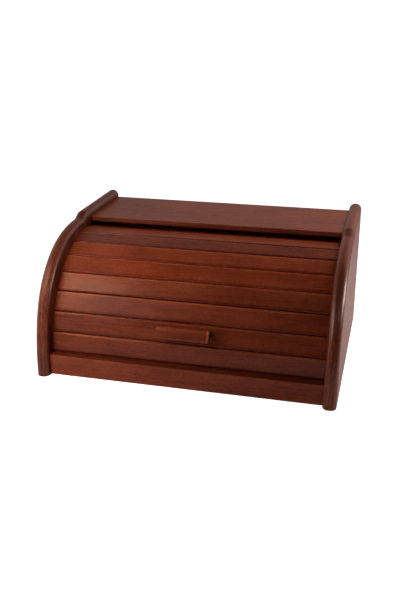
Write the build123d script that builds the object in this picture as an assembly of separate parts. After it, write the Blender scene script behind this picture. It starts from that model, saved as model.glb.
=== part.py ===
# Roll-top bread box in stained beech: two shaped side panels, a short top board, a base board,
# a thin back panel and a low front rail, closed by a curtain of wooden slats on canvas that
# slides round one circular groove routed in the sides.
#
# Frame: +Z up, +X to the right seen from the front, the front faces -Y.
# The origin is the middle of the footprint, on the surface that the box stands on.
# Angles round the groove are in degrees from +Y (the back) through +Z (the top).

import os
from math import asin, atan, cos, degrees, hypot, radians, sin, sqrt, tan

from build123d import *

# Sizes of the whole box, in millimetres
WIDTH = 390.0
SIDE_T = 17.0

# Curtain and its groove: the radius is that of the slats' outer corners, the slats are counted
# from the bottom, and the stop's play is in degrees
CURTAIN_R = 132.0
TRACK_RISE = 25.2
SLAT_COUNT = 9
PULL_SLAT = 2
SLAT_W = 25.5
SLAT_T = 7.0
SLAT_EASE = 1.5
SLAT_GAP = 0.3
GROOVE_DEPTH = 6.0
GROOVE_PLAY = 0.35
END_PLAY = 0.5
CANVAS_T = 0.8
CANVAS_INSET = 3.0
CANVAS_END = 1.5
STOP_PLAY = 0.8

# Room round the curtain
FRONT_MARGIN = 22.6
REAR_MARGIN = 5.0
TOP_GAP = 3.9

# Side panel outline: its front is a foot arc, a rounder shoulder and a flatter crown
TOP_INSET = 10.6
CREST_FROM_REAR = 124.7
CREST_STEP = 6.2
OGEE_R = 10.0
OGEE_SLOPE = 23.0
FOOT_TURN = 17.6
SHOULDER_R = 130.5
CROWN_TURN = 12.1
NOSE_R = 8.0

# Boards
TOP_T = 6.5
TOP_DEPTH = 112.8
TOP_EASE = 0.8
BASE_T = 7.0
BASE_RISE = 3.0
HOUSING_DEPTH = 5.0
TONGUE_T = 4.0
GLUE_GAP = 0.2
BACK_T = 3.0
REBATE_W = 12.0
BACK_PLAY = 0.3

# Front rail
RAIL_H = 27.6
RAIL_T = 20.0
RAIL_SETBACK = 10.8
RAIL_EASE = 1.2
SEAT_GAP = 0.3
DOWEL_D = 6.0
DOWEL_IN_SIDE = 9.0
DOWEL_IN_RAIL = 20.0
DOWEL_LOW = 8.0
DOWEL_SPACING = 10.5

# Pull handle
PULL_L = 70.0
PULL_H = 15.0
PULL_OUT = 15.0
PULL_END_R = 3.0
PULL_EDGE_R = 2.0
PULL_CORNER_R = 4.0
PULL_LIP = 5.5
PULL_COVE = 7.5
PULL_COVE_R = 3.5

# Fasteners
SCREW_SPACING = 44.0
SCREW_D = 3.5
SCREW_HEAD_D = 7.0
SCREW_HEAD_T = 2.2
SCREW_L = 16.0
SCREW_PLAY = 0.05
NAIL_D = 1.8
NAIL_L = 15.0
NAIL_PLAY = 0.05
NAIL_BEYOND_GROOVE = 1.6
SIDE_NAILS = 2
BASE_NAILS = 2
NAIL_END_MARGIN = 18.0

# How far a cutter runs past the face that it cuts
OVERCUT = 1.0

# Sizes that follow
DEPTH = FRONT_MARGIN + 2 * CURTAIN_R + REAR_MARGIN
TRACK_Y = DEPTH / 2 - REAR_MARGIN - CURTAIN_R
TOP_UNDER = TRACK_RISE + CURTAIN_R + TOP_GAP
TOP_OVER = TOP_UNDER + TOP_T
HEIGHT = TOP_OVER + TOP_INSET
CROWN_Z = HEIGHT - CREST_STEP
INNER = WIDTH / 2 - SIDE_T
REAR = DEPTH / 2
FRONT = -DEPTH / 2
BACK_FRONT = REAR - BACK_T
TOP_FRONT = REAR - TOP_DEPTH
TONGUE_FRONT = TOP_FRONT + TOP_EASE
TONGUE_OVER = TOP_UNDER + TONGUE_T
BASE_OVER = BASE_RISE + BASE_T
RAIL_FRONT = FRONT + RAIL_SETBACK
RAIL_REAR = RAIL_FRONT + RAIL_T

SLAT_FACE = sqrt(CURTAIN_R**2 - (SLAT_W / 2) ** 2)
SLAT_BACK = SLAT_FACE - SLAT_T
SLAT_L = 2 * (INNER + GROOVE_DEPTH - END_PLAY)
PITCH = 2 * degrees(atan((SLAT_W + SLAT_GAP) / 2 / SLAT_BACK))
EDGE_ANGLE = degrees(atan(SLAT_W / 2 / SLAT_BACK))
CORNER_R = hypot(SLAT_BACK, SLAT_W / 2)
SEAT_ANGLE = 180 - degrees(asin((RAIL_H + SEAT_GAP - TRACK_RISE) / CORNER_R))
FIRST_ANGLE = SEAT_ANGLE - EDGE_ANGLE
LAST_EDGE = FIRST_ANGLE - (SLAT_COUNT - 1) * PITCH - EDGE_ANGLE
PULL_ANGLE = FIRST_ANGLE - (PULL_SLAT - 1) * PITCH


def polar(radius, angle):
    """Point (y, z) at an angle round the groove's centre."""
    return (TRACK_Y + radius * cos(radians(angle)), TRACK_RISE + radius * sin(radians(angle)))


def curtain_travel():
    """Degrees that the curtain turns until its handle meets the top board's front edge."""
    y = TOP_FRONT - TRACK_Y
    z = TOP_UNDER - TRACK_RISE
    edge_angle = degrees(asin(z / hypot(y, z)))
    handle_half = degrees(asin(PULL_H / 2 / hypot(y, z)))
    return PULL_ANGLE - handle_half - edge_angle


TRAVEL = curtain_travel() - STOP_PLAY


def on_curtain(angle):
    """Placement with local +Y outward from the curtain and local -Z up along it."""
    return Pos(0, TRACK_Y, TRACK_RISE) * Rot(angle, 0, 0)


def block(x0, x1, y0, y1, z0, z1):
    """Box between two corners."""
    middle = Pos((x0 + x1) / 2, (y0 + y1) / 2, (z0 + z1) / 2)
    return middle * Box(x1 - x0, y1 - y0, z1 - z0)


def edges_at(shape, y=None, z=None):
    """Edges along X at a given y, z or both."""
    found = shape.edges().filter_by(Axis.X)
    if y is not None:
        found = found.filter_by(lambda e: abs(e.center().Y - y) < 1e-4)
    if z is not None:
        found = found.filter_by(lambda e: abs(e.center().Z - z) < 1e-4)
    return found


# Side panels
def outer_radii(run, rise):
    """Radii of the foot and crown arcs that span a run and a rise with the shoulder between."""
    low = radians(FOOT_TURN)
    high = radians(90 - CROWN_TURN)
    run -= SHOULDER_R * (cos(low) - cos(high))
    rise -= SHOULDER_R * (sin(high) - sin(low))
    whole = cos(high) * sin(low) - (1 - cos(low)) * (1 - sin(high))
    foot = (rise * cos(high) - run * (1 - sin(high))) / whole
    crown = (run * sin(low) - rise * (1 - cos(low))) / whole
    return foot, crown


def side_face():
    """Side outline, in (y, z): curved front, ogee up to the crest, flat top, square back."""
    crest_y = REAR - CREST_FROM_REAR
    slope = radians(OGEE_SLOPE)
    climb = CREST_STEP - OGEE_R * (1 - cos(slope))
    crown_y = crest_y - climb / tan(slope) - OGEE_R * sin(slope)
    foot_r, crown_r = outer_radii(crown_y - FRONT, CROWN_Z)
    foot = JernArc((FRONT, 0), (0, 1), foot_r, -FOOT_TURN)
    shoulder = JernArc(foot @ 1, foot % 1, SHOULDER_R, FOOT_TURN + CROWN_TURN - 90)
    crown = JernArc(shoulder @ 1, shoulder % 1, crown_r, -CROWN_TURN)
    ogee = JernArc(crown @ 1, crown % 1, OGEE_R, OGEE_SLOPE)
    rest = Polyline(ogee @ 1, (crest_y, HEIGHT), (REAR, HEIGHT), (REAR, 0), (FRONT, 0))
    curved = foot.edges() + shoulder.edges() + crown.edges() + ogee.edges()
    return make_face(curved + rest.edges())


def groove():
    """Circular groove for the slat ends, as a cutter into the right panel."""
    outer = CURTAIN_R + GROOVE_PLAY
    inner = SLAT_BACK - GROOVE_PLAY
    last = LAST_EDGE - TRAVEL
    path = CenterArc((TRACK_Y, TRACK_RISE), (outer + inner) / 2, last, SEAT_ANGLE - last)
    slot = SlotArc(path, height=outer - inner)
    return extrude(Plane.YZ.offset(INNER) * slot, GROOVE_DEPTH)


def side_nail_heights():
    """Heights of the nails that hold the back panel to each side."""
    low = BASE_RISE + NAIL_END_MARGIN
    high = TOP_UNDER - NAIL_END_MARGIN
    return [low + i * (high - low) / (SIDE_NAILS - 1) for i in range(SIDE_NAILS)]


def base_nail_offsets():
    """X positions of the nails that hold the back panel to the base board."""
    reach = INNER - 2 * NAIL_END_MARGIN
    return [-reach + i * 2 * reach / (BASE_NAILS - 1) for i in range(BASE_NAILS)]


def nail_places():
    """Points on the rear face where the back panel is nailed."""
    x_side = INNER + GROOVE_DEPTH + NAIL_BEYOND_GROOVE
    sides = [(sx * x_side, z) for sx in (-1, 1) for z in side_nail_heights()]
    return sides + [(x, BASE_RISE + BASE_T / 2) for x in base_nail_offsets()]


def nail_shape(play):
    """Headless pin driven towards the front, or its hole when there is play."""
    pin = Cylinder(NAIL_D / 2 + play, NAIL_L + play, align=(Align.CENTER, Align.CENTER, Align.MIN))
    return Rot(90, 0, 0) * pin


def nail_holes():
    """Cutters for every nail."""
    return [Pos(x, REAR, z) * nail_shape(NAIL_PLAY) for x, z in nail_places()]


def dowel_places():
    """Heights of the dowels at each end of the rail."""
    return [DOWEL_LOW, DOWEL_LOW + DOWEL_SPACING]


def dowel_holes():
    """Cutters for the rail's dowels at the right end."""
    reach = DOWEL_IN_SIDE + DOWEL_IN_RAIL
    middle = INNER + (DOWEL_IN_SIDE - DOWEL_IN_RAIL) / 2
    y = (RAIL_FRONT + RAIL_REAR) / 2
    drill = Rot(0, 90, 0) * Cylinder(DOWEL_D / 2, reach)
    return [Pos(middle, y, z) * drill for z in dowel_places()]


def side_right():
    """Right side panel: round-nosed outline, groove, housings and rebate."""
    panel = extrude(Plane.YZ.offset(INNER) * side_face(), SIDE_T)
    nosed = [
        edge
        for edge in panel.edges()
        if abs((edge @ 0).X - (edge @ 1).X) < 1e-4
        and edge.center().Z > 1e-3
        and edge.center().Y < REAR - 1e-3
    ]
    panel = fillet(nosed, NOSE_R)
    panel -= groove()
    housed = INNER + HOUSING_DEPTH
    panel -= block(INNER - OVERCUT, housed, TONGUE_FRONT, REAR + OVERCUT, TOP_UNDER, TONGUE_OVER)
    panel -= block(INNER - OVERCUT, housed, RAIL_REAR, REAR + OVERCUT, BASE_RISE, BASE_OVER)
    rebated = INNER + REBATE_W
    panel -= block(INNER - OVERCUT, rebated, BACK_FRONT, REAR + OVERCUT, -OVERCUT, TOP_UNDER)
    for cutter in dowel_holes() + nail_holes():
        panel -= cutter
    return panel


# Boards
def top_board():
    """Thin board with its front edge eased and a tongue in each side's housing."""
    board = block(-INNER, INNER, TOP_FRONT, REAR, TOP_UNDER, TOP_OVER)
    board = fillet(edges_at(board, y=TOP_FRONT), TOP_EASE)
    half = INNER + HOUSING_DEPTH - GLUE_GAP
    return board + block(-half, half, TONGUE_FRONT, REAR, TOP_UNDER, TONGUE_OVER)


def base_board():
    """Floor of the box, housed in both sides between the rail and the back panel."""
    half = INNER + HOUSING_DEPTH - GLUE_GAP
    board = block(-half, half, RAIL_REAR, BACK_FRONT, BASE_RISE, BASE_OVER)
    for cutter in nail_holes():
        board -= cutter
    return board


def back_panel():
    """Thin back in the sides' rebates, under the top board."""
    half = INNER + REBATE_W - BACK_PLAY
    panel = block(-half, half, BACK_FRONT, REAR, BASE_RISE, TOP_UNDER)
    for cutter in nail_holes():
        panel -= cutter
    return panel


def front_rail():
    """Low rail that the curtain closes on, dowelled between the sides."""
    rail = block(-INNER, INNER, RAIL_FRONT, RAIL_REAR, 0, RAIL_H)
    rail = fillet(edges_at(rail, y=RAIL_FRONT, z=RAIL_H), RAIL_EASE)
    for cutter in dowel_holes():
        rail -= cutter
        rail -= mirror(cutter, Plane.YZ)
    return rail


# Curtain
def slat(number):
    """One slat, counted from the bottom, with its two outer edges eased."""
    bar = block(-SLAT_L / 2, SLAT_L / 2, SLAT_BACK, SLAT_FACE, -SLAT_W / 2, SLAT_W / 2)
    bar = fillet(edges_at(bar, y=SLAT_FACE), SLAT_EASE)
    if number == PULL_SLAT:
        for cutter in screw_cutters():
            bar -= cutter
    return on_curtain(FIRST_ANGLE - (number - 1) * PITCH) * bar


def canvas():
    """Canvas glued to the backs of all the slats, bending at each joint between two."""
    half = INNER - CANVAS_INSET
    front = SLAT_BACK / cos(radians(PITCH / 2))
    back = (SLAT_BACK - CANVAS_T) / cos(radians(PITCH / 2))
    low_end = on_strip_end(SEAT_ANGLE, 1)
    high_end = on_strip_end(LAST_EDGE, -1)
    joints = [FIRST_ANGLE - (i + 0.5) * PITCH for i in range(SLAT_COUNT - 1)]
    outside = [low_end[0]] + [polar(front, a) for a in joints] + [high_end[0]]
    inside = [low_end[1]] + [polar(back, a) for a in joints] + [high_end[1]]
    band = make_face(Polyline(*outside, *reversed(inside), close=True).edges())
    sheet = extrude(Plane.YZ * band, half, both=True)
    for cutter in screw_cutters():
        sheet -= on_curtain(PULL_ANGLE) * cutter
    return sheet


def on_strip_end(angle, sign):
    """Outer and inner corner of the canvas's end, short of the last slat's edge."""
    middle = radians(angle - sign * EDGE_ANGLE)
    across = SLAT_W / 2 - CANVAS_END
    corners = []
    for radius in (SLAT_BACK, SLAT_BACK - CANVAS_T):
        y = TRACK_Y + radius * cos(middle) - sign * across * sin(middle)
        z = TRACK_RISE + radius * sin(middle) + sign * across * cos(middle)
        corners.append((y, z))
    return corners


# Pull handle and its screws
def screw_height():
    """Height of the screws above the handle's middle, in the solid part over the finger hollow."""
    return PULL_COVE / 2


def pull_handle():
    """Wooden pull with round corners, soft front edges and a finger hollow behind its lip."""
    front = SLAT_FACE + PULL_OUT
    low = PULL_H / 2
    bar = block(-PULL_L / 2, PULL_L / 2, SLAT_FACE, front, -low, low)
    ends = bar.edges().filter_by(Axis.Z).filter_by(lambda e: abs(e.center().Y - front) < 1e-4)
    corners = bar.edges().filter_by(Axis.Y)
    rounded = fillet(edges_at(bar, y=front), PULL_EDGE_R)
    bar = rounded & fillet(ends, PULL_END_R) & fillet(corners, PULL_CORNER_R)
    roof = low - PULL_COVE
    lip = front - PULL_LIP
    hollow = block(-PULL_L, PULL_L, SLAT_FACE - OVERCUT, lip, roof, low + OVERCUT)
    hollow = fillet(edges_at(hollow, y=lip, z=roof), PULL_COVE_R)
    bar -= hollow
    for cutter in screw_cutters():
        bar -= cutter
    return on_curtain(PULL_ANGLE) * bar


def screw_shape(play):
    """Screw driven outward from the slat's back, or its hole when there is play."""
    on_back = (Align.CENTER, Align.CENTER, Align.MIN)
    shank = Cylinder(SCREW_D / 2 + play, SCREW_L + play, align=on_back)
    head = Cylinder(SCREW_HEAD_D / 2 + play, SCREW_HEAD_T, align=on_back)
    return Rot(-90, 0, 0) * (head + shank)


def screw_places():
    """Both screws' places in the handle slat's own frame."""
    return [Pos(side * SCREW_SPACING / 2, SLAT_BACK, -screw_height()) for side in (-1, 1)]


def screw_cutters():
    """Screw holes, with the head's opening carried back through the canvas."""
    mouth = Rot(90, 0, 0) * Cylinder(
        SCREW_HEAD_D / 2 + SCREW_PLAY,
        2 * CANVAS_T,
        align=(Align.CENTER, Align.CENTER, Align.MIN),
    )
    return [place * (screw_shape(SCREW_PLAY) + mouth) for place in screw_places()]


def handle_screws():
    """The two screws, in the handle's slat."""
    screws = [place * screw_shape(0) for place in screw_places()]
    return Compound(children=[on_curtain(PULL_ANGLE) * screw for screw in screws])


# Dowels and nails
def rail_dowels():
    """Four dowels, two at each end of the rail."""
    length = DOWEL_IN_SIDE + DOWEL_IN_RAIL - 2 * GLUE_GAP
    middle = INNER + (DOWEL_IN_SIDE - DOWEL_IN_RAIL) / 2
    y = (RAIL_FRONT + RAIL_REAR) / 2
    peg = Rot(0, 90, 0) * Cylinder(DOWEL_D / 2, length)
    pegs = [Pos(side * middle, y, z) * peg for side in (-1, 1) for z in dowel_places()]
    return Compound(children=pegs)


def back_nails():
    """Pins that hold the back panel to the sides and the base board."""
    return Compound(children=[Pos(x, REAR, z) * nail_shape(0) for x, z in nail_places()])


def build():
    """Every node by name."""
    right = side_right()
    nodes = {
        "side_panel_right": right,
        "side_panel_left": mirror(right, Plane.YZ),
        "top_board": top_board(),
        "base_board": base_board(),
        "back_panel": back_panel(),
        "front_rail": front_rail(),
        "rail_dowels": rail_dowels(),
        "back_nails": back_nails(),
        "tambour_canvas": canvas(),
        "pull_handle": pull_handle(),
        "handle_screws": handle_screws(),
    }
    for number in range(1, SLAT_COUNT + 1):
        nodes[f"slat_{number}"] = slat(number)
    return nodes


os.makedirs("parts", exist_ok=True)
for name, shape in build().items():
    export_step(shape, f"parts/{name}.step")

print(f"box {WIDTH:.1f} x {DEPTH:.1f} x {HEIGHT:.1f} mm")
print(f"curtain axis y {TRACK_Y:.2f} z {TRACK_RISE:.2f}, travel {TRAVEL:.2f} degrees")
print(f"slat pitch {PITCH:.3f} degrees, first slat at {FIRST_ANGLE:.3f}, last edge at {LAST_EDGE:.3f}")
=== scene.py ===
import math

import bmesh
import bpy
from mathutils import Euler, Matrix, Vector


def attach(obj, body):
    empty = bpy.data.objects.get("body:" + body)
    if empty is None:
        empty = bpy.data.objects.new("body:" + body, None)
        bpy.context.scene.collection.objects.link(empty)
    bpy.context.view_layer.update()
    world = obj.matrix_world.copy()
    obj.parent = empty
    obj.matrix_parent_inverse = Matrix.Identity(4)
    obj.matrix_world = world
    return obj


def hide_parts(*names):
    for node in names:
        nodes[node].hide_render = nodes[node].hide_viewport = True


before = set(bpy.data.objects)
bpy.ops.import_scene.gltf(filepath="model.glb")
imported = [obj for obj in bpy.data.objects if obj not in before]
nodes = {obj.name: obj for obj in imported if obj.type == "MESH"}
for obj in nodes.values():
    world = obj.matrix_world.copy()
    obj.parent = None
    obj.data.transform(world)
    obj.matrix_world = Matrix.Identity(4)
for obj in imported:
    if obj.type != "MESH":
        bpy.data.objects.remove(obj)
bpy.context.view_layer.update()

# Sizes of the curtain in metres and degrees, as the source of the CAD model has them
TRACK = Vector((0.0, 0.0088, 0.0252))  # centre of the circular groove
SLAT_FACE = 0.13138  # from there to the slats' fronts
SLAT_BACK = 0.12438  # and to their backs
SLAT_HALF = 0.01275  # half of a slat's height
SLATS = 9
PITCH = 11.842  # turn from slat to slat
FIRST = 172.910  # angle of the lowest slat
STEP = 2 * SLAT_BACK * math.tan(math.radians(PITCH / 2))  # from slat to slat along their backs
INNER = 0.178  # from the middle to a side panel's inner face
HANDLE_SLAT = 1
SCREW_SPREAD = 0.022  # from the middle to one of the handle's screws
SCREW_RISE = 0.00375  # screws above the middle of their slat
SCREW_HOLE = 0.00355  # radius of the openings in the canvas

# Display colours, from 0 to 255
STAIN = ((46, 13, 5), (99, 36, 18), (144, 60, 32), (184, 90, 54))
BARE_BEECH = ((120, 84, 50), (160, 120, 78), (196, 158, 112), (214, 180, 136))
CANVAS = ((128, 108, 84), (172, 152, 124), (204, 188, 162))
SCREW_STEEL = (176, 170, 150)
NAIL_STEEL = (150, 146, 140)


def srgb(r, g, b):
    """Linear colour from display values of 0 to 255."""
    out = []
    for c in (r, g, b):
        c /= 255
        out.append(c / 12.92 if c <= 0.04045 else ((c + 0.055) / 1.055) ** 2.4)
    return (*out, 1.0)


# Values of a noise between which nearly all of it lies, and a narrower part of them
NOISE = (0.3, 0.7)
NOISE_MIDDLE = (0.35, 0.65)


class Tree:
    """Shorthand for the nodes of a material or a world."""

    def __init__(self, owner):
        owner.use_nodes = True
        self.owner = owner
        self.nodes = owner.node_tree.nodes
        self.links = owner.node_tree.links
        self.nodes.clear()

    def put(self, socket, value):
        """Link a socket to another one, or give it a value."""
        if isinstance(value, bpy.types.NodeSocket):
            self.links.new(value, socket)
        else:
            socket.default_value = value

    def node(self, kind, inputs=(), **settings):
        n = self.nodes.new(kind)
        for key, value in settings.items():
            setattr(n, key, value)
        for key, value in dict(inputs).items():
            self.put(n.inputs[key], value)
        return n

    def math(self, operation, a, b=0.5, c=0.5, clamp=False):
        n = self.node("ShaderNodeMath", operation=operation, use_clamp=clamp)
        for socket, value in zip(n.inputs, (a, b, c)):
            self.put(socket, value)
        return n.outputs[0]

    def split(self, vector):
        """Outputs X, Y and Z of a vector."""
        return self.node("ShaderNodeSeparateXYZ", {"Vector": vector}).outputs

    def mapping(self, vector, location=(0, 0, 0), rotation=(0, 0, 0), scale=(1, 1, 1)):
        settings = {"Vector": vector, "Location": location, "Rotation": rotation, "Scale": scale}
        return self.node("ShaderNodeMapping", settings).outputs[0]

    def noise(self, vector, scale, detail=2.0, rough=0.5):
        settings = {"Vector": vector, "Scale": scale, "Detail": detail, "Roughness": rough}
        return self.node("ShaderNodeTexNoise", settings).outputs["Fac"]

    def grain(self, vector, scale, detail=2.0, rough=0.5):
        """Noise with a scale of its own for each axis."""
        return self.noise(self.mapping(vector, scale=scale), 1.0, detail, rough)

    def range(self, value, a, b, c=0.0, d=1.0, smooth=False):
        """Value that goes from c to d while another goes from a to b."""
        n = self.node(
            "ShaderNodeMapRange",
            {"Value": value, "From Min": a, "From Max": b, "To Min": c, "To Max": d},
            interpolation_type="SMOOTHSTEP" if smooth else "LINEAR",
        )
        return n.outputs["Result"]

    def swing(self, noise, size):
        """Noise as a change of so much to both sides of nothing."""
        return self.range(noise, *NOISE, -size, size)

    def ramp(self, value, stops):
        """Colour from a list of positions and colours."""
        n = self.node("ShaderNodeValToRGB", {"Fac": value})
        ramp = n.color_ramp
        while len(ramp.elements) < len(stops):
            ramp.elements.new(0.5)
        for element, (at, colour) in zip(ramp.elements, stops):
            element.position = at
            element.color = colour
        return n.outputs["Color"]

    def mix(self, factor, a, b, kind="MIX"):
        """Colour a mixed with b. By number, the two colours are the inputs 6 and 7."""
        inputs = {"Factor": factor, 6: a, 7: b}
        return self.node("ShaderNodeMix", inputs, data_type="RGBA", blend_type=kind).outputs[2]

    def tint(self, colour, by, factor):
        """Colour multiplied by another one, as far as the factor says."""
        return self.mix(factor, colour, self.mix(1.0, colour, (*by, 1), "MULTIPLY"))

    def bump(self, height, strength, distance, **below):
        settings = {"Height": height, "Strength": strength, "Distance": distance, **below}
        return self.node("ShaderNodeBump", settings).outputs[0]

    def finish(self, shader, kind="ShaderNodeOutputMaterial"):
        self.links.new(shader.outputs[0], self.node(kind).inputs["Surface"])
        return self.owner


# Turn and shift from the row frame to a frame whose first axis runs along the grain
ROW_FRAME = ((0, 0, 0), (0, 0, 0))
GRAIN_UP = ((0, math.radians(90), 0), (0, 0, 0))
GRAIN_SLANTED = ((math.radians(-12), math.radians(90), 0), (0, 0, 0))

# The wood's noises: scales along the grain and in the two directions across it, detail and
# roughness. The last one is for the cells of the flecks, and has scales only.
BEND = ((5, 16, 16), 2.0, 0.5)
DRIFT = ((14, 60, 60), 2.0, 0.5)
STREAK = ((16, 380, 380), 3.0, 0.6)
GRIT = ((240, 860, 860), 3.0, 0.7)
PORE = ((60, 1900, 1900), 2.0, 0.6)
BLOTCH = ((14, 30, 30), 3.0, 0.55)
CLOUD = ((5, 10, 10), 2.0, 0.5)
HATCH = ((500, 900, 900), 2.0, 0.7)
FLECK = (170, 820, 820)

# Direction in which a piece's shift moves it through the noises
SHIFT_WAY = (1.0, 1.7, 2.3)

# Change of tone that they make, the tone without them, and what is added to it where the
# figure is strong
STREAK_TONE = 0.07
GRIT_TONE = 0.17
PORE_TONE = 0.09
BLOTCH_TONE = 0.09
CLOUD_TONE = 0.07
LATE_TONE = 0.11
FLECK_TONE = 0.26
HATCH_TONE = (0.04, 0.14)
PLAIN_TONE = 0.64
FIGURED_TONE = 0.03

# Year rings: how far they wander in metres, where in a ring the late wood starts, is darkest
# and fades, over how many rings their strength changes, and the strength of the weakest
BEND_SIZE = 0.016
DRIFT_SIZE = 0.0016
LATE_START, LATE_FULL, LATE_FADE = 0.25, 0.86, 0.9
YEARS = 1.9
WEAK_YEAR = 0.15

# Ray flecks: share of the cells without one, rim of a dash, and patches with fewer of them
FLECK_FREE = 0.6
FLECK_RIM = (0.40, 0.16)
FLECK_PATCH = (0.38, 0.62)
FLECK_FEWEST = 0.25

# Ends of a board: how far a face looks along the grain there, the most figure that they have,
# and how much rougher they are
END_FACE = (0.45, 0.9)
END_FIGURE = 0.5
END_ROUGH = 0.12

# Tones of a stain's four colours, and the tint and strength of its redder clouds
STAIN_TONES = (0.0, 0.36, 0.64, 1.0)
CLOUD_TINT = (0.92, 0.84, 1.06)
CLOUD_SHARE = 0.35

# Lacquer: roughness around its mean, share on the pores and between them, reflection of bare
# and lacquered wood, and more lacquer on a slat's upper edge
DULLER, SHINIER = 0.05, 0.03
FILM = (0.8, 1.2)
REFLECTION = (0.0, 0.5)
LIP = (0.0018, 0.0010)
LIP_FILM = 0.18

# Relief: parts of pores, streaks and flecks, then strength and height in metres
PORE_RELIEF, STREAK_RELIEF, FLECK_RELIEF = 0.5, 0.35, 0.4
FINE_BUMP = (0.35, 0.00022)
BROAD_BUMP = (0.25, 0.0006)
BROAD_SCALE = 55.0

# Painted light and shade, as tints and the places where they fade in, in metres from a slat's
# edges or otherwise in the piece's own frame
# Painted highlight along a slat's upper edge
UPPER_HIGHLIGHT_BAND, UPPER_HIGHLIGHT_RIM, UPPER_HIGHLIGHT = (0.0036, 0.0016), (0.0001, 0.0006), (1.4, 1.58, 1.62)
# Painted shade along a slat's lower edge
LOWER_SHADE_BAND, LOWER_SHADE = (0.0046, 0.0006), (0.5, 0.4, 0.38)
LOWER_SHADE_SHARE = 0.8
# Painted light on a slat's sides, which lightens the shade in the joints
JOINT_LIGHT_BAND, JOINT_LIGHT = (0.0004, 0.0001), (1.9, 1.6, 1.5)
# Painted shade on the rail's upward ledge, under the lowest slat
LEDGE_SHADE_FACE, LEDGE_SHADE = (0.6, 0.95), (0.65, 0.6, 0.6)
# Painted shade on the side panels' inner faces beside the slats
INSIDE_SHADE_BAND, INSIDE_SHADE = (INNER + 0.0022, INNER + 0.0004), (0.5, 0.46, 0.46)
HANDLE_FRONT = (0.008, 0.012)
# Painted highlights on the handle's upper front edge and its right-hand front edge, and painted
# shade on its ends
HANDLE_UPPER_HIGHLIGHT_BAND, HANDLE_UPPER_HIGHLIGHT = (0.0016, 0.0044), (1.35, 1.42, 1.5)
HANDLE_RIGHT_HIGHLIGHT_BAND, HANDLE_RIGHT_HIGHLIGHT = (0.0306, 0.0326), (3.0, 3.8, 4.4)
HANDLE_END_SHADE = (0.2, 0.2, 0.22)


def along(turn):
    """Direction of the grain in the row frame for a local frame's turn."""
    matrix = Euler(turn, "XYZ").to_matrix()
    return tuple(matrix.transposed() @ Vector((1, 0, 0)))


def slat_frame(index):
    """Turn and shift that take the row frame to a slat's own: X along it, Y up it, Z outward."""
    angle = math.radians(FIRST - index * PITCH)
    outward = Vector((0, math.cos(angle), math.sin(angle)))
    upward = Vector((0, math.sin(angle), -math.cos(angle)))
    centre = TRACK + outward * SLAT_FACE
    rows = Matrix((Vector((1, 0, 0)), upward, outward))
    return tuple(rows.to_euler("XYZ")), tuple(-(rows @ centre))


def late_wood(t, own, moved, pith, ring):
    """Dark part of the year rings, whose width is ring, around a pith across the grain."""
    bend = t.grain(moved, *BEND)
    drift = t.grain(moved, *DRIFT)
    across = t.math("ADD", own["Y"], pith[0])
    depth = t.math("ADD", own["Z"], pith[1])
    square = t.math("ADD", t.math("MULTIPLY", across, across), t.math("MULTIPLY", depth, depth))
    radius = t.math("ADD", t.math("SQRT", square), t.math("MULTIPLY", bend, BEND_SIZE))
    radius = t.math("ADD", radius, t.math("MULTIPLY", drift, DRIFT_SIZE))
    year = t.math("FRACT", t.math("DIVIDE", radius, ring))
    rise = t.range(year, LATE_START, LATE_FULL, smooth=True)
    late = t.math("MULTIPLY", rise, t.range(year, 1.0, LATE_FADE, smooth=True))
    years = t.node("ShaderNodeCombineXYZ", {"X": t.math("DIVIDE", radius, ring * YEARS)})
    strength = t.range(t.noise(years.outputs[0], 1.0, 1.0), *NOISE, WEAK_YEAR, 1.0)
    return t.math("MULTIPLY", late, strength)


def ray_flecks(t, moved, blotch):
    """Short dark dashes, more of them in some patches than in others."""
    inputs = {"Vector": t.mapping(moved, scale=FLECK), "Scale": 1.0}
    cells = t.node("ShaderNodeTexVoronoi", inputs, feature="F1").outputs
    chosen = t.math("GREATER_THAN", t.split(cells["Color"])["X"], FLECK_FREE)
    dash = t.math("MULTIPLY", t.range(cells["Distance"], *FLECK_RIM), chosen)
    return t.math("MULTIPLY", dash, t.range(blotch, *FLECK_PATCH, FLECK_FEWEST, 1.0))


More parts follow.
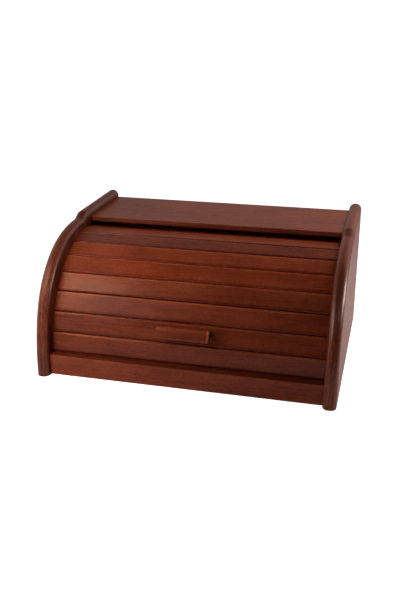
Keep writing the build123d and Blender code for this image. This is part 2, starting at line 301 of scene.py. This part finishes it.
def wood(name, local, pith, ring, shift, light, red,
         figure=1.0, gloss=0.36, shine=0.27, stain=STAIN, painted_light=None):
    """Stained and lacquered beech, with rings, streaks, pores, ray flecks and uneven stain.

    local is the grain's frame. pith and ring are for the year rings, and shift moves the piece
    to wood of its own. light and red are for the stain, and figure is the strength of its
    streaks. gloss is the share of lacquer and shine its roughness. painted_light paints light
    and shade into the colour.
    """
    t = Tree(bpy.data.materials.new(name))
    place = t.node("ShaderNodeTexCoord").outputs["Object"]
    turn, move = local
    here = t.mapping(place, move, turn)
    moved = t.mapping(here, tuple(shift * way for way in SHIFT_WAY))
    own = t.split(here)
    late = late_wood(t, own, moved, pith, ring)
    streak, grit, pore, blotch, cloud = (
        t.grain(moved, *noise) for noise in (STREAK, GRIT, PORE, BLOTCH, CLOUD)
    )
    dash = ray_flecks(t, moved, blotch)

    # Streaks and rings are weaker on the ends, which have a hatch instead
    normal = t.node("ShaderNodeNewGeometry").outputs["Normal"]
    inputs = {0: normal, 1: along(turn)}
    grain = t.node("ShaderNodeVectorMath", inputs, operation="DOT_PRODUCT").outputs["Value"]
    endgrain = t.range(t.math("ABSOLUTE", grain), *END_FACE, smooth=True)
    hatch = t.range(t.grain(moved, *HATCH), *NOISE_MIDDLE, *HATCH_TONE)
    bold = t.range(endgrain, 0.0, 1.0, figure, min(figure, END_FIGURE))

    tone = t.math("MULTIPLY", t.swing(streak, STREAK_TONE), bold)
    for noise, size in (
        (grit, GRIT_TONE), (pore, PORE_TONE), (blotch, BLOTCH_TONE), (cloud, CLOUD_TONE)
    ):
        tone = t.math("ADD", tone, t.swing(noise, size))
    rings = t.math("MULTIPLY", t.math("MULTIPLY", late, LATE_TONE), bold)
    tone = t.math("SUBTRACT", tone, rings)
    tone = t.math("SUBTRACT", tone, t.math("MULTIPLY", dash, FLECK_TONE))
    plain = t.math("MULTIPLY_ADD", bold, FIGURED_TONE, PLAIN_TONE)
    tone = t.math("ADD", tone, plain, clamp=True)
    tone = t.math("SUBTRACT", tone, t.math("MULTIPLY", endgrain, hatch), clamp=True)

    colour = t.ramp(tone, [(at, srgb(*c)) for at, c in zip(STAIN_TONES, stain)])
    redder = t.math("MULTIPLY", t.range(cloud, *NOISE_MIDDLE), CLOUD_SHARE)
    colour = t.tint(colour, CLOUD_TINT, redder)
    colour = t.mix(1.0, colour, (light * red, light, light / red, 1), "MULTIPLY")
    # Painted highlights and painted shade, where a piece has them
    if painted_light:
        parts = {"own": own, "place": place, "normal": normal, "endgrain": endgrain}
        colour = painted_light(t, colour, parts)

    rough = t.range(streak, *NOISE, shine + DULLER, shine - SHINIER)
    rough = t.math("ADD", rough, t.math("MULTIPLY", endgrain, END_ROUGH))
    grooves = t.math("MULTIPLY", streak, STREAK_RELIEF)
    relief = t.math("ADD", t.math("MULTIPLY", pore, PORE_RELIEF), grooves)
    relief = t.math("SUBTRACT", relief, t.math("MULTIPLY", dash, FLECK_RELIEF))
    bump = t.bump(relief, *FINE_BUMP)
    bump = t.bump(t.noise(moved, BROAD_SCALE), *BROAD_BUMP, Normal=bump)
    surface = {"Base Color": colour, "Roughness": rough, "Normal": bump}
    bare, lacquer = (
        t.node("ShaderNodeBsdfPrincipled", {**surface, "Specular IOR Level": level}).outputs[0]
        for level in REFLECTION
    )
    film = t.range(pore, *NOISE, *(gloss * share for share in FILM))
    if painted_light is painted_slat_edges:
        lip = t.range(own["Y"], *(SLAT_HALF - below for below in LIP), smooth=True)
        film = t.math("MULTIPLY_ADD", lip, LIP_FILM, film)
    return t.finish(t.node("ShaderNodeMixShader", {0: film, 1: bare, 2: lacquer}))


# Kinds of painted light and shade: each is given some parts of the wood's nodes, and returns the
# new colour
def painted_slat_edges(t, colour, parts):
    """Painted highlight on a slat's upper edge, painted shade on the lower one, and painted light
    on its sides in the joints.
    """
    height = parts["own"]["Y"]
    # Painted highlight along the upper edge
    rise = t.range(height, *(SLAT_HALF - below for below in UPPER_HIGHLIGHT_BAND), smooth=True)
    fall = t.range(height, *(SLAT_HALF - below for below in UPPER_HIGHLIGHT_RIM))
    colour = t.tint(colour, UPPER_HIGHLIGHT, t.math("MULTIPLY", rise, fall))
    # Painted shade along the lower edge
    lower = t.range(height, *(above - SLAT_HALF for above in LOWER_SHADE_BAND), smooth=True)
    colour = t.tint(colour, LOWER_SHADE, t.math("MULTIPLY", lower, LOWER_SHADE_SHARE))
    # Painted light on the sides, in the joints
    outer = t.math("ABSOLUTE", height)
    side = t.range(outer, *(SLAT_HALF - below for below in JOINT_LIGHT_BAND), smooth=True)
    return t.tint(colour, JOINT_LIGHT, side)


def painted_ledge_shade(t, colour, parts):
    """Painted shade on a ledge that faces up, under the lowest slat."""
    upward = t.split(parts["normal"])["Z"]
    return t.tint(colour, LEDGE_SHADE, t.range(upward, *LEDGE_SHADE_FACE, smooth=True))


def painted_inside_shade(t, colour, parts):
    """Painted shade on the inner face of a side panel beside the slats."""
    across = t.math("ABSOLUTE", t.split(parts["place"])["X"])
    return t.tint(colour, INSIDE_SHADE, t.range(across, *INSIDE_SHADE_BAND, smooth=True))


def painted_handle_light(t, colour, parts):
    """Painted highlights on the upper front edge and the right-hand one, painted shade on the
    ends.
    """
    own = parts["own"]
    front = t.range(own["Z"], *HANDLE_FRONT, smooth=True)
    right = t.range(own["X"], *HANDLE_RIGHT_HIGHLIGHT_BAND, smooth=True)
    upper = t.range(own["Y"], *HANDLE_UPPER_HIGHLIGHT_BAND, smooth=True)
    # Painted highlight on the upper front edge
    colour = t.tint(colour, HANDLE_UPPER_HIGHLIGHT, t.math("MULTIPLY", upper, front))
    # Painted highlight on the right-hand front edge
    colour = t.tint(colour, HANDLE_RIGHT_HIGHLIGHT, t.math("MULTIPLY", right, front))
    # Painted shade on the ends
    return t.tint(colour, HANDLE_END_SHADE, parts["endgrain"])


def dress(name, material):
    """Give a CAD node its material."""
    data = nodes[name].data
    data.materials.clear()
    data.materials.append(material)


# Slats, each from its own stick of wood: light, red, pith and gloss. Their rings come in four
# widths, from the narrowest, and their shifts are evenly spaced.
RINGS, RING_WIDTH, RING_STEP = 4, 0.0024, 0.0003
FIRST_SHIFT, SHIFT_STEP = 0.37, 0.61
STICKS = (
    (0.70, 0.99, (0.020, 0.045), 0.36),
    (0.77, 1.00, (-0.035, 0.060), 0.36),
    (0.87, 0.98, (0.012, 0.080), 0.36),
    (0.88, 0.97, (-0.010, 0.034), 0.36),
    (1.09, 0.99, (0.060, 0.030), 0.36),
    (1.06, 0.98, (0.050, 0.070), 0.36),
    (0.70, 0.95, (-0.060, 0.050), 0.36),
    (0.96, 0.95, (0.004, 0.090), 0.50),
    (0.98, 1.00, (0.030, 0.060), 0.36),
)
for i, (light, red, pith, gloss) in enumerate(STICKS):
    ring = RING_WIDTH + RING_STEP * (i % RINGS)
    shift = FIRST_SHIFT + SHIFT_STEP * i
    # Each slat gets painted highlights and painted shade along its edges
    dress(f"slat_{i + 1}", wood(f"slat_wood_{i + 1}", slat_frame(i), pith, ring, shift,
                               light, red, gloss=gloss, painted_light=painted_slat_edges))

# Case and handle: grain, pith, ring, shift, light and red
dress("top_board", wood("top_wood", ROW_FRAME, (0.06, 0.02), 0.0042, 5.3, 0.79, 0.97, figure=0.8))
dress("base_board", wood("base_wood", ROW_FRAME, (0.02, 0.07), 0.0040, 6.1, 0.95, 1.0))
# The rail's ledge gets painted shade
dress("front_rail", wood("rail_wood", ROW_FRAME, (0.02, -0.06), 0.0031, 7.7, 0.90, 0.99,
                         painted_light=painted_ledge_shade))
# Both side panels are the same wood; the left one's lower light value is painted shade
dress("side_panel_left", wood("side_wood_left", GRAIN_UP, (0.09, 0.26), 0.0048, 8.9, 0.58, 0.95,
                              figure=3.2, gloss=0.6, shine=0.31, painted_light=painted_inside_shade))
dress("side_panel_right", wood("side_wood_right", GRAIN_SLANTED, (0.07, -0.27), 0.0048, 9.7,
                               0.72, 0.96, figure=3.6, gloss=0.6, painted_light=painted_inside_shade))
# The handle gets painted highlights and painted shade
dress("pull_handle", wood("handle_wood", slat_frame(HANDLE_SLAT), (0.03, 0.05), 0.0026, 3.9,
                          0.76, 0.99, gloss=0.7, painted_light=painted_handle_light))
dress("rail_dowels", wood("dowel_wood", ROW_FRAME, (0.01, 0.01), 0.0022, 2.2, 1.0, 1.0,
                          stain=BARE_BEECH))
dress("back_panel", wood("back_board", ROW_FRAME, (0.2, 0.3), 0.006, 4.4, 0.9, 1.0,
                         figure=0.7, gloss=0.2, shine=0.6))


# Steel: scales of its tarnish and relief, how dark and how rough the tarnish is, and the relief
TARNISH_SCALE = 900.0
PLATING_SCALE = 2500.0
TARNISH = 0.72
TARNISH_ROUGH = 0.1
PLATING_BUMP = (0.2, 0.00008)


def steel(name, colour, rough):
    """Zinc-plated steel with a little uneven tarnish."""
    t = Tree(bpy.data.materials.new(name))
    place = t.node("ShaderNodeTexCoord").outputs["Object"]
    spots = t.noise(place, TARNISH_SCALE, 3.0)
    tarnished = srgb(*(c * TARNISH for c in colour))
    inputs = {
        "Base Color": t.ramp(spots, list(zip(NOISE, (tarnished, srgb(*colour))))),
        "Metallic": 1.0,
        "Roughness": t.range(spots, *NOISE, rough + TARNISH_ROUGH, rough),
        "Normal": t.bump(t.noise(place, PLATING_SCALE), *PLATING_BUMP),
    }
    return t.finish(t.node("ShaderNodeBsdfPrincipled", inputs))


dress("handle_screws", steel("screw_steel", SCREW_STEEL, 0.32))
dress("back_nails", steel("nail_steel", NAIL_STEEL, 0.4))

# Canvas, in metres
TWO_THREADS = 0.0011
CLOTH_DEPTH = 0.00062  # from the slats' backs to the middle of the cloth
CLOTH_THICK = 0.0005
CLOTH_MARGIN = 0.0015  # bare wood above and below the cloth
CLOTH_CLEARANCE = 0.003  # and between it and the side panels
DIP = 0.00022  # how far it goes into a joint
DIP_REACH = 0.0016
FRAY = 0.00025
FRAY_WAVE = 900
ROWS = 150
COLUMNS = 120
HOLE_CORNERS = 16

# Its tone: weave, uneven threads both ways and dirt, with the scales of the last two
WEAVE_TONE = 0.16
SLUB_TONE = 0.4
SLUBS = ((60, 1400, 1), (1400, 60, 1))
DIRT_TONE = 0.2
DIRT_SCALE = 16.0
CANVAS_TONES = (0.2, 0.55, 0.9)
WEAVE_BUMP = (0.6, 0.0002)


def cloth():
    """Unbleached canvas in plain weave."""
    t = Tree(bpy.data.materials.new("canvas_cloth"))
    uv = t.node("ShaderNodeTexCoord").outputs["UV"]
    flat = t.split(uv)
    warp, weft = (
        t.math("SINE", t.math("MULTIPLY", flat[axis], 2 * math.pi / TWO_THREADS)) for axis in "XY"
    )
    weave = t.math("MULTIPLY", warp, weft)
    slubs = [t.math("MULTIPLY", t.grain(uv, scale, 3.0), SLUB_TONE) for scale in SLUBS]
    tone = t.math("ADD", t.math("MULTIPLY", weave, WEAVE_TONE), t.math("ADD", *slubs))
    dirt = t.math("MULTIPLY", t.noise(uv, DIRT_SCALE, 3.0), DIRT_TONE)
    tone = t.math("ADD", tone, dirt, clamp=True)
    inputs = {
        "Base Color": t.ramp(tone, [(at, srgb(*c)) for at, c in zip(CANVAS_TONES, CANVAS)]),
        "Roughness": 0.92,
        "Sheen Weight": 0.25,
        "Sheen Roughness": 0.5,
        "Specular IOR Level": 0.2,
        "Normal": t.bump(weave, *WEAVE_BUMP),
    }
    return t.finish(t.node("ShaderNodeBsdfPrincipled", inputs))


def curtain_point(length, depth):
    """Row frame (y, z) at a length up the slats' backs from the lowest edge of the first."""
    index = max(0, min(SLATS - 1, int((length + (STEP - 2 * SLAT_HALF) / 2) / STEP)))
    along_slat = length - index * STEP - SLAT_HALF
    angle = math.radians(FIRST - index * PITCH)
    outward = Vector((math.cos(angle), math.sin(angle)))
    upward = Vector((math.sin(angle), -math.cos(angle)))
    return Vector((TRACK.y, TRACK.z)) + outward * (SLAT_BACK - depth) + upward * along_slat


def cut_screw_hole(bm, x, length):
    """Round hole in the cloth over a screw's head, on the handle's slat."""
    centre = Vector((x, *curtain_point(length, CLOTH_DEPTH)))
    above = Vector((x, *curtain_point(length + 0.001, CLOTH_DEPTH)))
    upward = (above - centre).normalized()
    sides = []
    for k in range(HOLE_CORNERS):
        angle = 2 * math.pi * (k + 0.5) / HOLE_CORNERS
        sides.append(Vector((math.cos(angle), 0, 0)) + upward * math.sin(angle))
    for side in sides:
        near = [
            f for f in bm.faces if (f.calc_center_median() - centre).length < 3 * SCREW_HOLE
        ]
        edges = list({e for f in near for e in f.edges})
        verts = list({v for f in near for v in f.verts})
        rim = centre + side * SCREW_HOLE
        bmesh.ops.bisect_plane(bm, geom=near + edges + verts, plane_co=rim, plane_no=side)
    inside = [
        f for f in bm.faces
        if all((f.calc_center_median() - centre).dot(side) < SCREW_HOLE for side in sides)
    ]
    bmesh.ops.delete(bm, geom=inside, context="FACES")


def canvas():
    """Canvas on the slats' backs: it lies on each slat and dips a little into each joint."""
    low, high = CLOTH_MARGIN, (SLATS - 1) * STEP + 2 * SLAT_HALF - CLOTH_MARGIN
    half = INNER - CLOTH_CLEARANCE
    mesh = bpy.data.meshes.new("tambour_canvas_cloth")
    bm = bmesh.new()
    layer = bm.loops.layers.uv.new("UVMap")
    grid = []
    for r in range(ROWS + 1):
        length = low + (high - low) * r / ROWS
        offset = (length - SLAT_HALF + STEP / 2) % STEP - STEP / 2
        joint = abs(abs(offset) - STEP / 2)
        dip = DIP * math.exp(-((joint / DIP_REACH) ** 2))
        end = 1 if r == ROWS else -1 if r == 0 else 0
        row = []
        for c in range(COLUMNS + 1):
            x = -half + 2 * half * c / COLUMNS
            fray = FRAY * math.sin(x * FRAY_WAVE) * end
            y, z = curtain_point(length + fray, CLOTH_DEPTH - dip)
            row.append(bm.verts.new((x, y, z)))
        grid.append(row)
    for r in range(ROWS):
        for c in range(COLUMNS):
            corners = ((r, c), (r, c + 1), (r + 1, c + 1), (r + 1, c))
            face = bm.faces.new([grid[a][b] for a, b in corners])
            face.smooth = True
            for loop, (a, b) in zip(face.loops, corners):
                loop[layer].uv = (2 * half * b / COLUMNS, (high - low) * a / ROWS)
    for side in (-1, 1):
        cut_screw_hole(bm, side * SCREW_SPREAD, HANDLE_SLAT * STEP + SLAT_HALF + SCREW_RISE)
    bm.normal_update()
    bm.to_mesh(mesh)
    bm.free()
    mesh.materials.append(cloth())
    obj = bpy.data.objects.new("tambour_canvas_cloth", mesh)
    bpy.context.scene.collection.objects.link(obj)
    thick = obj.modifiers.new("thickness", "SOLIDIFY")
    thick.thickness = CLOTH_THICK
    thick.offset = 0
    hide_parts("tambour_canvas")
    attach(obj, "tambour")


canvas()

# Studio: a white floor that shines by itself, a little less towards the back
FLOOR_HALF = 6.0
FLOOR_GLOW = (0.18, 0.17)
FLOOR_GLOW_ENDS = (0.0, 0.35)
FLOOR_WHITE = 0.78  # what the camera sees of it besides

# Light, and the part of the box that most lamps point at
HEART = (-0.03, -0.05, 0.1)
DAY = (1.0, 0.98, 0.94)
WARM = (1.0, 0.76, 0.53)
AMBER = (1.0, 0.88, 0.74)
CREAM = (1.0, 0.93, 0.84)
COOL = (0.88, 0.94, 1.0)
WHITE = (1, 1, 1)

# Bright parts of the studio's walls: direction, narrowness and strength
WALLS = (((0.0, 1.0, 0.12), 12, 0.62), ((-0.7, 0.8, 0.5), 12, 1.0), ((0.7, 0.8, 0.5), 12, 1.4))
WALL_COLOUR = (1.0, 0.95, 0.91, 1)

# Camera, from the photograph: viewing angle and roll in degrees, the point in the middle of the
# picture, the distance from it, and the focal length for the height of the picture in pixels
AZIMUTH, ELEVATION, ROLL = 14.61, 22.33, -0.49
TARGET = Vector((-0.00607, -0.0117, 0.07126))
DISTANCE = 1.06744
FOCAL_LENGTH, PICTURE_HEIGHT = 775.51, 601
SENSOR = 36


def floor():
    mesh = bpy.data.meshes.new("studio_floor")
    s = FLOOR_HALF
    mesh.from_pydata([(-s, -s, 0), (s, -s, 0), (s, s, 0), (-s, s, 0)], [], [(0, 1, 2, 3)])
    obj = bpy.data.objects.new("studio_floor", mesh)
    bpy.context.scene.collection.objects.link(obj)
    t = Tree(bpy.data.materials.new("floor_paper"))
    place = t.split(t.node("ShaderNodeTexCoord").outputs["Object"])
    glow = t.range(place["Y"], *FLOOR_GLOW_ENDS, *FLOOR_GLOW, smooth=True)
    seen = t.node("ShaderNodeLightPath").outputs["Is Camera Ray"]
    glow = t.math("ADD", glow, t.math("MULTIPLY", seen, FLOOR_WHITE))
    paper = t.node("ShaderNodeBsdfDiffuse", {"Color": (0.8, 0.8, 0.8, 1)}).outputs[0]
    shine = t.node("ShaderNodeEmission", {"Color": (*WHITE, 1), "Strength": glow}).outputs[0]
    mesh.materials.append(t.finish(t.node("ShaderNodeAddShader", {0: paper, 1: shine})))


def softbox(name, place, aim, size, power, colour=WHITE, diffuse=True, glossy=True, only=()):
    """Soft light that points at a place. If some nodes are given, it lights only those."""
    data = bpy.data.lights.new(name, "AREA")
    data.shape = "RECTANGLE"
    data.size, data.size_y = size
    data.energy = power
    data.color = colour
    obj = bpy.data.objects.new(name, data)
    obj.location = place
    obj.rotation_euler = (Vector(aim) - Vector(place)).to_track_quat("-Z", "Y").to_euler()
    obj.visible_camera = False
    obj.visible_diffuse = diffuse
    obj.visible_glossy = glossy
    if only:
        lit = bpy.data.collections.new(name + "_lit")
        for node in only:
            lit.objects.link(nodes[node])
        obj.light_linking.receiver_collection = lit
    bpy.context.scene.collection.objects.link(obj)


def lamps():
    """Lamps from the left and above, and glints that show only in the lacquer."""
    key = (0.12, 0.12)
    softbox("key_high", (-0.18, -0.26, 0.29), HEART, key, 0.25, DAY, glossy=False)
    softbox("key_side", (-0.21, -0.26, 0.20), HEART, key, 0.12, DAY, glossy=False)
    softbox("key_low", (-0.20, -0.31, 0.12), HEART, key, 0.12, DAY, glossy=False)
    softbox("glint", (-0.25, -0.225, 0.295), (-0.15, -0.09, 0.11), (0.12, 0.14), 0.42, WARM,
            diffuse=False)
    softbox("card", (-0.30, -0.20, 0.35), (0.7, -0.20, 0.35), (0.5, 0.6), 1.0, WARM,
            diffuse=False)
    softbox("key_far", (-0.93, -1.12, 1.10), HEART, (0.22, 0.22), 0.15)
    softbox("overhead", (0.35, 0.30, 0.60), HEART, (0.3, 0.3), 1.9, glossy=False)
    softbox("ceiling", (-0.05, 0.30, 0.95), HEART, (0.35, 0.35), 0.2, glossy=False)
    softbox("right_front", (0.57, -0.54, 0.62), HEART, (0.13, 0.13), 0.6, AMBER, diffuse=False)
    softbox("right_rear", (0.88, 0.28, 0.22), (0.19, -0.1, 0.1), (0.25, 0.16), 2.3, CREAM)
    softbox("right_glint", (0.92, 0.10, 0.36), (0.19, -0.1, 0.13), (0.38, 0.20), 4.4, CREAM,
            diffuse=False)
    softbox("cool_glint", (-0.30, -0.60, 0.42), (0.18, -0.12, 0.10), (0.25, 0.35), 2.2, COOL,
            diffuse=False, only=("side_panel_right",))
    softbox("left", (-0.9, 0.0, 0.3), (-0.2, -0.05, 0.1), (0.5, 0.5), 0.9)


def studio():
    """White backdrop for the camera, and dim walls with soft bright parts behind the box."""
    world = bpy.data.worlds.new("studio")
    t = Tree(world)
    way = t.node("ShaderNodeTexCoord").outputs["Generated"]
    total = 0.0
    for direction, narrow, strength in WALLS:
        inputs = {0: way, 1: Vector(direction).normalized()}
        facing = t.node("ShaderNodeVectorMath", inputs, operation="DOT_PRODUCT").outputs["Value"]
        patch = t.math("POWER", t.math("MAXIMUM", facing, 0.0), narrow)
        total = t.math("ADD", total, t.math("MULTIPLY", patch, strength))
    dim = t.node("ShaderNodeBackground", {"Color": WALL_COLOUR, "Strength": total}).outputs[0]
    white = t.node("ShaderNodeBackground", {"Color": (*WHITE, 1)}).outputs[0]
    seen = t.node("ShaderNodeLightPath").outputs["Is Camera Ray"]
    mixed = t.node("ShaderNodeMixShader", {0: seen, 1: dim, 2: white})
    bpy.context.scene.world = t.finish(mixed, "ShaderNodeOutputWorld")


def camera():
    """Camera at the photograph's viewing angle."""
    azimuth, elevation, roll = (math.radians(v) for v in (AZIMUTH, ELEVATION, ROLL))
    level = math.cos(elevation)
    back = Vector((math.sin(azimuth) * level, -math.cos(azimuth) * level, math.sin(elevation)))
    right = Vector((math.cos(azimuth), math.sin(azimuth), 0))
    up = back.cross(right)
    right, up = (
        math.cos(roll) * right + math.sin(roll) * up,
        -math.sin(roll) * right + math.cos(roll) * up,
    )
    data = bpy.data.cameras.new("camera")
    data.sensor_width = SENSOR
    data.lens = FOCAL_LENGTH / PICTURE_HEIGHT * SENSOR
    data.clip_start = 0.05
    data.clip_end = 50
    obj = bpy.data.objects.new("camera", data)
    turn = Matrix((right, up, back)).transposed().to_4x4()
    obj.matrix_world = Matrix.Translation(TARGET + back * DISTANCE) @ turn
    bpy.context.scene.collection.objects.link(obj)
    bpy.context.scene.camera = obj


floor()
lamps()
studio()
scene = bpy.context.scene
scene.view_settings.view_transform = "Standard"
camera()
